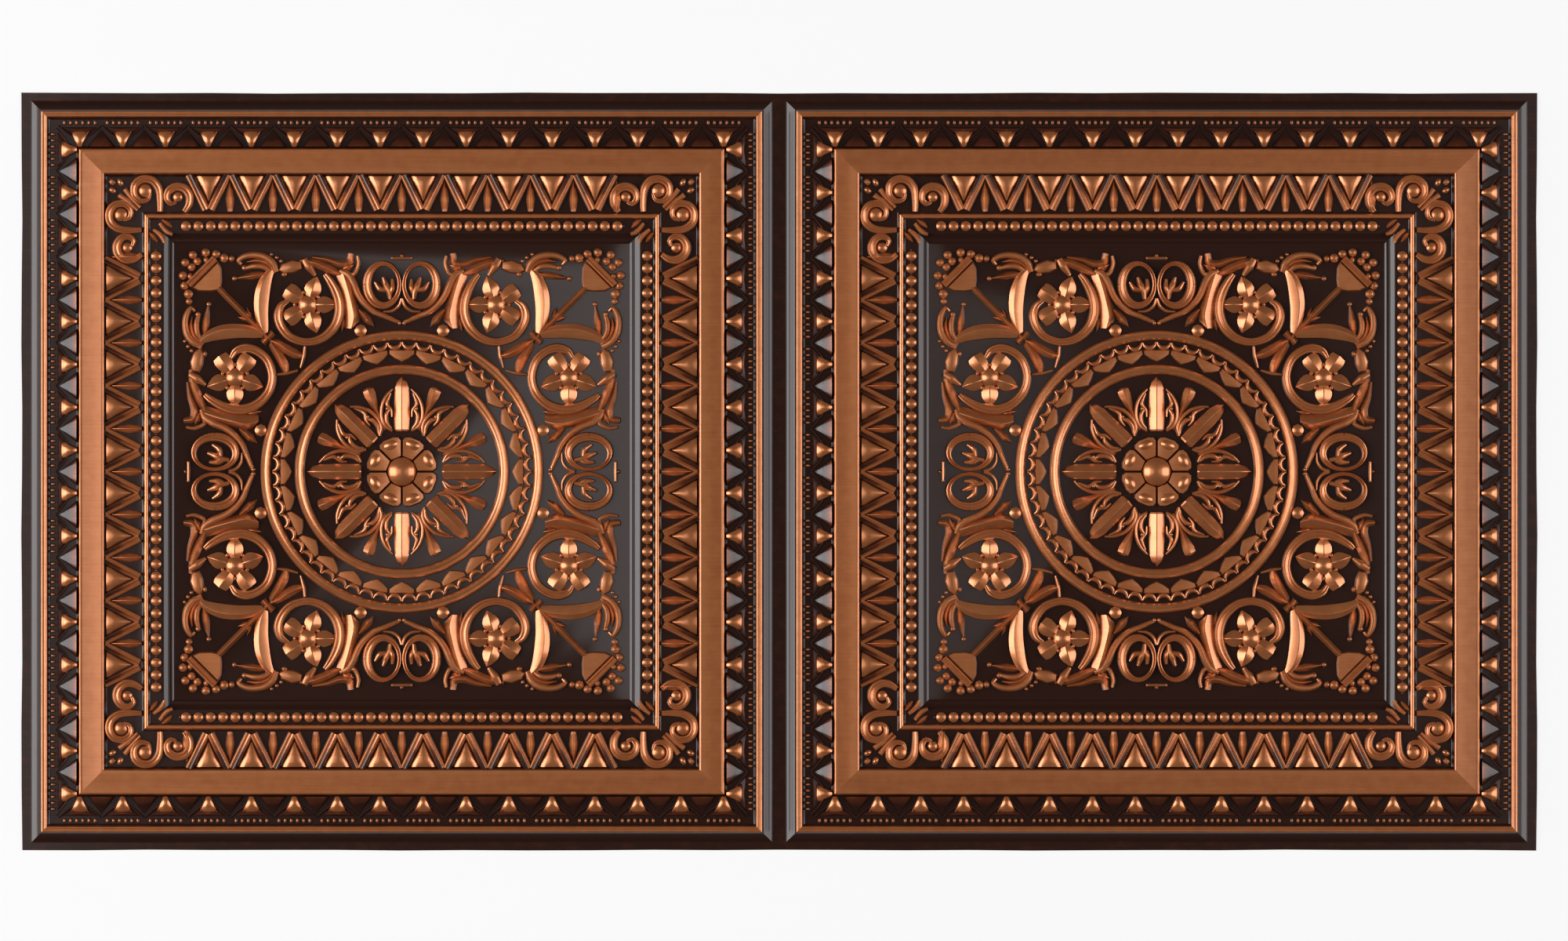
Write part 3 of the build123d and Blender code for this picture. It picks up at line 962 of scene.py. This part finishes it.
@dataclass
class CornerSprays:
    """What fills the corners of the leaf course and of the bead course."""

    rub: Rub = Rub(low=0.0)

    def pieces(self, repeater: Repeater) -> list[bpy.types.Object]:
        """Make both corner fillings, each half mirrored about the field's diagonal."""
        half = joined(self.volutes(), self.sprig())
        return [repeater.repeat("corner_sprays", joined(half, half.mirrored()), self.rub, turns=SIDES)]

    def volutes(self) -> MeshParts:
        """The large and the small volute beside a corner."""
        large = [
            (194.2, 209.0), (194.0, 218.0), (195.2, 227.6), (200.6, 234.2), (208.4, 235.0),
            (214.4, 230.4), (215.0, 222.8), (210.0, 217.6), (204.0, 218.6), (202.0, 223.6),
        ]
        large_widths = [2.4, 3.0, 3.6, 3.8, 3.8, 3.5, 3.1, 2.6, 2.1, 1.5]
        large_rises = [2.8, 3.4, 3.9, 4.1, 4.1, 4.1, 3.9, 3.5, 3.0, 2.4]
        small = [
            (174.6, 208.8), (170.8, 214.8), (170.4, 221.8), (174.6, 227.6), (181.4, 229.0),
            (187.4, 225.4), (188.8, 219.4), (185.2, 215.2), (181.2, 216.8),
        ]
        small_widths = [2.4, 3.4, 3.9, 4.0, 3.9, 3.6, 3.0, 2.4, 1.6]
        small_rises = [2.8, 3.4, 3.9, 4.0, 4.0, 3.9, 3.5, 3.0, 2.2]
        return joined(
            ridge(large, large_widths, large_rises, LEAF_CHANNEL, Section.DOUBLE),
            dome((206.4, 225.8), (5.8, 5.8), 2.6, LEAF_CHANNEL),
            ridge(small, small_widths, small_rises, LEAF_CHANNEL, Section.DOUBLE),
            dome((180.0, 220.8), (4.4, 4.4), 2.2, LEAF_CHANNEL),
        )

    def sprig(self) -> MeshParts:
        """Half of the stem and drops that lie along the diagonal."""
        return joined(
            ridge([(210.0, 212.2), (216.6, 219.4), (222.4, 227.0)], [1.5, 2.2, 2.4], [3.2], LEAF_CHANNEL),
            dome((226.0, 232.4), (2.4, 3.6), 3.0, LEAF_CHANNEL, -30),
            dome((232.4, 233.0), (2.2, 3.2), 2.8, LEAF_CHANNEL, -45, sides=10, rings=3),
            blade((184.6, 196.2), (193.4, 203.6), 2.4, 3.0, BEAD_CHANNEL, 0.6),
            ridge([(184.0, 190.6), (189.0, 193.0), (194.6, 199.4)], [1.6, 2.3, 1.6], [3.0], BEAD_CHANNEL),
        )


@dataclass
class Medallion:
    """Two rings with scallops between them, and the rosette inside."""

    outer: float = 109.7
    inner: float = 82.2
    ring_sides: int = 128
    scallops: int = 28
    leaves: int = 8

    def pieces(self, repeater: Repeater) -> list[bpy.types.Object]:
        """Make the rings, the scallops and the rosette."""
        rings = joined(self.ring(self.outer), self.ring(self.inner))
        boss = dome((0.0, 0.0), (12.0, 12.0), 7.6, PANEL, sides=32, rings=8)
        around, between = {"turns": self.leaves}, {"turns": self.leaves, "start": 180 / self.leaves}
        return [
            repeater.repeat("medallion_rings", rings, Rub(reach=1.6)),
            repeater.repeat("scallops", self.scallop(), Rub(reach=0.9), turns=self.scallops),
            repeater.repeat("rosette_leaves", self.main_leaf(), Rub(reach=1.1), **around),
            repeater.repeat("rosette_spoons", self.small_leaf(), Rub(reach=1.1), **between),
            repeater.repeat("rosette_petals", self.petal(), Rub(reach=2.4), **between),
            repeater.repeat("rosette_boss", boss, Rub(reach=3.0)),
        ]

    def ring(self, radius: float) -> MeshParts:
        """One ring: a rounded ridge with a fine groove just inside its crown."""
        section = (
            (-4.3, -SINK), (-4.1, 0.9), (-3.4, 2.6), (-2.3, 3.8), (-1.2, 4.2), (-0.3, 4.0), (0.4, 3.6),
            (1.2, 3.9), (2.2, 4.0), (3.2, 3.0), (4.0, 1.1), (4.2, -SINK),
        )
        sides = self.ring_sides
        made = [
            ((radius + a) * cos(tau * k / sides), (radius + a) * sin(tau * k / sides), PANEL + b)
            for k in range(sides)
            for a, b in section
        ]
        parts = MeshParts()
        parts.add(made, bands(sides, len(section), closed=True))
        return parts

    def scallop(self) -> MeshParts:
        """One tile-like scallop that points inwards, and two small arcs behind it."""
        right = [(5.6, 90.6), (10.4, 94.0), (10.8, 98.2)]
        outline = [(-x, y) for x, y in reversed(right)] + [(0.0, 87.9)] + right
        arc = [(5.4 * sin(a), 104.6 - 5.2 * cos(a)) for a in np.radians([-84, -56, -28, 0, 28, 56, 84])]
        widths, rises = [0.8, 1.5, 2.0, 2.3, 2.0, 1.5, 0.8], [2.8, 3.4, 3.9, 4.1, 3.9, 3.4, 2.8]
        small = ridge(arc, widths, rises, PANEL, smooth=False)
        arcs = [small.turned(angle * tau / self.scallops) for angle in (-0.25, 0.25)]
        return joined(plate(outline, 0.9, 2.6, PANEL, 0.6), *arcs)

    def main_leaf(self) -> MeshParts:
        """One bar-like leaf with curled lobes on both sides."""
        bar = [(0.0, y) for y in (32.6, 34.0, 50.0, 66.0, 72.0, 76.0)]
        widths, rises = [5.2, 6.4, 6.6, 6.2, 4.2, 0.6], [4.4, 5.2, 5.4, 5.2, 4.2, 1.8]
        rim = [(7.6, 33.0), (13.4, 36.6), (16.4, 44.0), (16.0, 53.0), (12.6, 60.8), (7.4, 66.4)]
        root = [(8.4, 34.6), (12.0, 39.4), (12.4, 46.0), (9.4, 50.6)]
        head = [(8.0, 44.0), (8.6, 49.6), (12.0, 54.6), (9.0, 63.2)]
        lobes = joined(
            ridge(rim, [1.4, 1.8, 1.8, 1.7, 1.5, 1.0], [2.8, 3.6, 3.8, 3.8, 3.4, 2.4], PANEL),
            ridge(root, [1.2, 2.0, 2.1, 1.2], [3.0, 3.8, 4.2, 3.0], PANEL),
            ridge(head, [0.8, 1.5, 2.0, 0.9], [3.0, 3.8, 4.2, 2.6], PANEL),
            dome((11.6, 50.6), (2.0, 2.0), 4.6, PANEL, sides=12, rings=3),
        )
        return joined(ridge(bar, widths, rises, PANEL, Section.GABLE, smooth=False), lobes, lobes.flipped())

    def small_leaf(self) -> MeshParts:
        """One spoon-shaped leaf between two bars."""
        path = [(0.0, y) for y in (36.0, 46.0, 54.0, 61.0, 67.0, 71.0, 72.6)]
        widths, rises = [1.4, 1.8, 2.6, 3.8, 5.0, 4.8, 3.0], [2.8, 3.6, 4.2, 4.8, 5.0, 4.4, 3.0]
        return ridge(path, widths, rises, PANEL, Section.GABLE, smooth=False)

    def petal(self) -> MeshParts:
        """One rounded petal of the centre flower, notched where it meets the next."""
        right = [(4.7, 11.2), (7.8, 18.8), (9.7, 23.4), (8.6, 27.0), (4.4, 28.9)]
        left = [(-x, y) for x, y in reversed(right)]
        outline = left[-1:] + right + left[:-1]
        blob = dome((0.0, 23.2), (7.4, 4.9), 4.9, PANEL, sides=18, rings=5)
        return joined(plate(outline, 1.0, 3.4, PANEL, -0.8), blob)


@dataclass
class PanelScrolls:
    """The scrolled vines, flowers, horns, shields and hearts round a medallion."""

    flower: Point = (75.6, 134.2)
    flower_petals: int = 5
    heart_turns: int = 28

    def pieces(self, repeater: Repeater) -> list[bpy.types.Object]:
        """Make the scrollwork: an eighth of a field, its mirror image and what is on the diagonal."""
        groups = {
            "scroll_vines": (self.vines(), self.tie()),
            "scroll_flowers": (self.flowers(), MeshParts()),
            "scroll_leaves": (self.leaves(), MeshParts()),
            "scroll_horns": (self.horns(), MeshParts()),
            "corner_shields": (self.fan(), self.shield()),
            "heart_volutes": (self.hearts(), MeshParts()),
        }
        return [
            repeater.repeat(name, joined(eighth, eighth.mirrored(), middle), turns=SIDES)
            for name, (eighth, middle) in groups.items()
        ]

    def vines(self) -> MeshParts:
        """The grooved vines: the flower's ring, its stem and the heart's V."""
        ring = [
            (91.4, 137.4), (97.0, 133.2), (99.3, 125.0), (96.4, 115.6), (89.0, 107.8), (76.6, 104.2),
            (64.4, 107.0), (55.0, 115.2), (50.6, 125.0), (50.2, 134.8), (53.0, 144.6), (58.0, 153.6),
            (62.0, 158.6),
        ]
        ring_widths = [2.0, 3.4, 4.2, 4.0, 3.8, 3.7, 3.9, 4.3, 4.5, 4.5, 4.1, 3.4, 2.2]
        ring_rises = [2.4, 3.8, 4.6, 4.9, 4.9, 4.9, 4.9, 4.9, 4.9, 4.8, 4.4, 3.8, 2.8]
        stem = (
            [(107.4, 112.4), (107.0, 119.0), (107.2, 129.0), (106.1, 141.4), (104.4, 153.6), (102.6, 160.4)],
            [(110.4, 110.8), (113.4, 120.0), (114.6, 133.0), (113.4, 146.0), (109.0, 157.0), (104.2, 162.0)],
            [(112.6, 109.4), (117.4, 121.0), (119.2, 135.0), (117.4, 148.0), (112.2, 158.4), (106.0, 163.4)],
        )
        heart = [
            (1.2, 119.8), (4.2, 120.9), (13.7, 125.0), (21.9, 128.4), (29.4, 134.6), (34.9, 142.1),
            (39.0, 151.7), (43.4, 158.4), (50.0, 161.4),
        ]
        heart_widths = [1.5, 1.9, 2.3, 2.6, 2.9, 3.0, 3.2, 3.2, 2.0]
        heart_rises = [2.8, 3.4, 3.9, 4.2, 4.5, 4.6, 4.6, 4.2, 3.0]
        return joined(
            ridge(ring, ring_widths, ring_rises, PANEL, Section.DOUBLE),
            fold(*stem, [3.8, 4.8, 5.2, 5.2, 4.6, 3.2], PANEL, 2.2),
            ridge(heart, heart_widths, heart_rises, PANEL),
            dome((1.7, 119.4), (1.9, 2.1), 4.2, PANEL, sides=10, rings=3),
        )

    def tie(self) -> MeshParts:
        """The stalk along the diagonal, the tie that holds the vines to it, and its two leaves."""
        stalk = [(106.0, 106.0), (126.0, 126.0), (147.6, 147.6)]
        across = [(103.4, 111.8), (107.6, 107.6), (111.8, 103.4)]
        return joined(
            ridge(stalk, [2.4, 3.0, 2.7], [4.2, 5.0, 4.4], PANEL, Section.GABLE),
            ridge(across, [3.2, 2.4, 3.2], [5.4, 6.2, 5.4], PANEL, Section.GABLE, smooth=False),
            blade((121.0, 122.6), (124.6, 132.4), 2.2, 2.6, PANEL),
            blade((122.6, 121.0), (132.4, 124.6), 2.2, 2.6, PANEL),
        )

    def flowers(self) -> MeshParts:
        """A flower in each ring: two square petals towards the medallion, three pointed ones."""
        x, y = self.flower
        square = [(5.6, 3.0), (10.0, 6.2), (17.0, 7.6), (20.8, 6.4)], 21.6, 4.4
        pointed = [(5.6, 3.0), (12.0, 7.2), (18.0, 5.6), (23.8, 0.3)], 23.4, 2.4
        parts = dome((x, y), (8.1, 8.1), 6.6, PANEL, sides=20, rings=6)
        for k in range(self.flower_petals):
            angle = pi - tau * k / self.flower_petals
            edge, end, end_rise = square if k in (2, 3) else pointed
            crest = [(5.6, 0.0), (10.0, 0.0), (16.0, 0.0), (end, 0.0)]
            other = [(a, -b) for a, b in edge]
            petal = fold(edge, crest, other, [3.6, 5.2, 5.4, end_rise], PANEL, 1.8)
            parts.join(petal.turned(angle).moved(self.flower))
            gap = angle + pi / self.flower_petals
            seed = (x + 10.4 * cos(gap), y + 10.4 * sin(gap))
            parts.join(dome(seed, (1.9, 1.9), 3.4, PANEL, sides=8, rings=2))
        return parts

    def leaves(self) -> MeshParts:
        """The acanthus along the panel's edge and the claw."""
        inner = [(82.0, 169.8), (70.0, 167.6), (58.0, 162.6), (49.0, 158.6)]
        outer = [(72.0, 172.4), (60.0, 170.4), (49.6, 167.0), (42.4, 168.2), (41.0, 175.4)]
        curl = [(35.8, 173.4), (34.9, 166.6), (38.4, 158.8), (44.0, 160.2)]
        pad = [
            (100.2, 161.8), (96.6, 167.4), (88.4, 170.6), (80.2, 169.2), (79.4, 162.6), (86.4, 159.4),
            (94.4, 158.6),
        ]
        # The claw: a broad outer finger, two thin ones under it and a spike
        broad = [
            (100.6, 160.6), (103.6, 167.4), (109.6, 172.4), (118.0, 174.2), (126.0, 173.2), (131.4, 169.6),
            (128.8, 166.4),
        ]
        broad_shape = [2.2, 3.0, 3.0, 2.8, 2.5, 2.2, 1.3], [3.4, 4.2, 4.4, 4.2, 4.0, 3.6, 2.6]
        second = [(102.0, 159.8), (108.0, 167.0), (116.0, 169.6), (124.6, 168.6)]
        third = [(104.4, 159.6), (111.0, 164.4), (118.4, 165.2), (125.4, 163.6)]
        parts = joined(
            ridge(inner, [2.0, 3.6, 3.8, 2.4], [3.0, 4.0, 4.2, 3.2], PANEL, Section.GABLE),
            ridge(outer, [1.4, 2.4, 3.2, 3.4, 2.6], [2.4, 3.4, 4.0, 4.0, 3.0], PANEL, Section.GABLE),
            ridge(curl, [1.4, 1.8, 2.0, 1.2], [2.6, 3.2, 3.2, 2.0], PANEL),
            blade((47.0, 163.0), (37.6, 166.4), 3.6, 3.4, PANEL),
            plate(pad, 1.4, 2.8, PANEL, 1.6),
            ridge([(78.4, 170.8), (74.6, 164.6), (69.6, 157.6)], [2.8, 3.7, 1.6], [3.8, 4.8, 3.0], PANEL),
            dome((94.6, 158.4), (2.6, 1.9), 2.6, PANEL, sides=10, rings=3),
            ridge(broad, *broad_shape, PANEL),
            ridge(second, [1.8, 2.6, 2.4, 1.0], [3.0, 3.6, 3.2, 2.0], PANEL, Section.GABLE),
            ridge(third, [1.8, 2.4, 2.4, 1.8], [2.8, 3.8, 3.8, 3.0], PANEL),
            blade((109.0, 159.0), (136.6, 155.0), 3.2, 4.0, PANEL, 0.4),
        )
        buds = (
            (126.4, 163.8, 2.6), (134.6, 155.2, 2.2), (104.8, 174.6, 1.6), (100.6, 172.0, 1.8),
            (97.2, 169.2, 1.8),
        )
        for x, y, r in buds:
            parts.join(dome((x, y), (r, r), 0.9 * r + 1.0, PANEL, sides=10, rings=3))
        return parts

    def horns(self) -> MeshParts:
        """The horn beside the heart with the bead in its mouth, and half of the tulip."""
        horn = (
            [(54.0, 161.0), (51.6, 152.0), (49.4, 142.0), (47.8, 131.0), (46.6, 122.0), (45.8, 115.4)],
            [(46.8, 158.6), (44.0, 150.0), (41.6, 141.6), (39.6, 133.4), (38.0, 124.4), (40.4, 115.0)],
            [(42.6, 157.0), (39.2, 149.4), (37.0, 141.0), (34.8, 133.0), (33.2, 126.0), (34.2, 120.9)],
        )
        x, y = mouth = (33.2, 113.4)
        outline = [(x + 5.2 * cos(k * pi / 4), y + 5.2 * sin(k * pi / 4)) for k in range(8)]
        tulip = [(106.0, 105.2), (100.6, 103.6), (93.0, 98.6), (86.0, 94.8), (80.0, 93.2)]
        return joined(
            fold(*horn, [3.4, 4.6, 5.2, 5.6, 5.6, 4.4], PANEL, 0.8),
            blade((34.6, 130.4), (22.6, 116.2), 3.4, 4.6, PANEL, 0.6),
            blade((46.6, 123.0), (48.6, 112.4), 2.4, 3.6, PANEL),
            facets(outline, mouth, 5.2, PANEL, 1.8),
            ridge(tulip, [1.6, 3.0, 4.0, 4.0, 2.8], [3.4, 4.4, 5.0, 4.6, 3.2], PANEL, Section.GABLE),
            ridge([(78.0, 100.6), (79.0, 92.6), (81.4, 83.6)], [1.2, 1.7, 1.0], [2.8, 3.6, 2.2], PANEL),
        )

    def fan(self) -> MeshParts:
        """Half of the beads that fan out behind a corner's shield."""
        beads = (
            (168.0, 174.2, 3.0), (157.6, 176.0, 3.1), (149.4, 174.8, 3.0), (142.8, 171.6, 3.3),
            (136.8, 171.2, 2.4), (164.4, 169.0, 2.9), (157.0, 170.0, 2.4),
        )
        domes = [((x, y), (1.22 * r, 1.22 * r), r + 1.1) for x, y, r in beads]
        return joined(*(dome(*shape, PANEL, sides=12, rings=3) for shape in domes))

    def shield(self) -> MeshParts:
        """The flat shield in the panel's corner, with the bar along its outer edge."""
        outline = [
            (145.6, 145.6), (154.0, 144.4), (163.4, 144.8), (169.6, 147.8), (147.8, 169.6), (144.8, 163.4),
            (144.4, 154.0),
        ]
        bar = ridge([(171.4, 150.0), (150.0, 171.4)], [3.4], [5.2], PANEL, Section.DOUBLE, smooth=False)
        return joined(plate(outline, 1.4, 3.0, PANEL), bar)

    def hearts(self) -> MeshParts:
        """One of the two volutes at the middle of a side, with its tail, its bud and half the finial."""
        angles = [tau * k / self.heart_turns for k in range(self.heart_turns + 1)]
        path = [(14.9 + 13.1 * cos(a), 150.4 + 16.9 * sin(a)) for a in angles]
        widths = [2.9 + 1.1 * cos(a) - 0.5 * sin(a) for a in angles]
        tail = [(0.2, 139.0), (2.6, 133.0), (8.0, 129.2), (15.0, 128.6)]
        middle = [(9.4, 138.6), (10.2, 144.6), (12.6, 149.4), (15.2, 156.2)]
        return joined(
            ridge(path, widths, [4.8], PANEL, Section.DOUBLE, smooth=False),
            ridge(tail, [1.6, 1.6, 1.4, 0.8], [4.0, 3.6, 3.0, 2.0], PANEL),
            ridge(middle, [1.8, 2.6, 2.9, 1.4], [3.8, 4.8, 4.8, 3.0], PANEL),
            ridge([(12.4, 145.6), (18.0, 147.0), (21.8, 152.4)], [1.8, 2.6, 1.3], [3.8, 4.4, 2.8], PANEL),
            ridge([(10.4, 141.4), (7.6, 147.6), (7.6, 154.8)], [1.8, 2.6, 1.4], [3.8, 4.6, 2.8], PANEL),
            ridge([(0.0, 171.6), (7.6, 171.6)], [1.5, 1.3], [3.4, 3.0], PANEL, smooth=False),
            dome((0.0, 173.6), (1.8, 2.2), 3.0, PANEL, sides=10, rings=3),
            dome((7.4, 171.6), (1.6, 1.6), 3.2, PANEL, sides=10, rings=3),
        )


# The stage

@dataclass
class Studio:
    """Floor, lamps, world and camera."""

    lens: float = 200.0
    sensor: float = 36.0
    seen_width: float = 1260.2
    aim: Point = (3.8, 0.9)
    face_level: float = 5.0
    surround: float = 0.06
    floor_half: float = 40.0
    lamps: tuple[tuple[str, Place, Point, float], ...] = (
        ("left_softbox", (-4.2, 0.0, 2.4), (3.2, 4.6), 250.0),
        ("right_softbox", (4.2, 0.0, 2.4), (3.2, 4.6), 168.0),
        ("left_sky", (-2.7, 0.0, 5.0), (2.2, 3.6), 36.0),
        ("right_sky", (2.7, 0.0, 5.0), (2.2, 3.6), 17.0),
    )

    def build(self) -> None:
        """Set the stage."""
        self.floor()
        for name, place, size, power in self.lamps:
            self.lamp(name, place, size, power)
        self.world()
        self.camera()

    def floor(self) -> None:
        """A wide pale floor just under the tile."""
        size = self.floor_half
        corners = [(-size, -size, 0), (size, -size, 0), (size, size, 0), (-size, size, 0)]
        mesh = bpy.data.meshes.new("floor")
        mesh.from_pydata(corners, [], [(0, 1, 2, 3)])
        mesh.materials.append(PalePaper().build())
        put("floor", mesh)

    def lamp(self, name: str, place: Place, size: Point, power: float) -> None:
        """Add one soft lamp that looks at the tile's middle."""
        data = bpy.data.lights.new(name, "AREA")
        data.shape = "RECTANGLE"
        data.size, data.size_y = size
        data.energy = power
        lamp = put(name, data)
        lamp.location = place
        lamp.rotation_euler = (-Vector(place)).to_track_quat("-Z", "Y").to_euler()

    def world(self) -> None:
        """A plain grey surround."""
        world = bpy.data.worlds.new("studio")
        world.use_nodes = True
        background = world.node_tree.nodes["Background"].inputs
        background["Color"].default_value = srgb("#FFFFFF")
        background["Strength"].default_value = self.surround
        bpy.context.scene.world = world

    def camera(self) -> None:
        """A face-on camera whose frame is as wide as the photo's."""
        data = bpy.data.cameras.new("camera")
        data.lens = self.lens
        data.sensor_width = self.sensor
        camera = put("camera", data)
        distance = self.seen_width * self.lens / self.sensor + self.face_level
        camera.location = (self.aim[0] * MM, self.aim[1] * MM, distance * MM)
        bpy.context.scene.camera = camera


def main() -> None:
    """Build the tile and its stage."""
    logging.basicConfig(level=logging.INFO, format="%(message)s")
    bpy.context.scene.view_settings.view_transform = "Standard"
    Studio().build()
    material = RubbedCopper().build()
    repeater = Repeater(material)
    pieces = [PlainSheet().build(material)]
    for maker in (Courses(), CornerSprays(), Medallion(), PanelScrolls()):
        pieces += maker.pieces(repeater)
    total = 0
    for piece in pieces:
        declare(piece)
        count = sum(len(p.vertices) - 2 for p in piece.data.polygons)
        total += count
        log.info("%s: %d triangles", piece.name, count)
    log.info("all pieces: %d triangles", total)


if __name__ == "__main__":
    main()
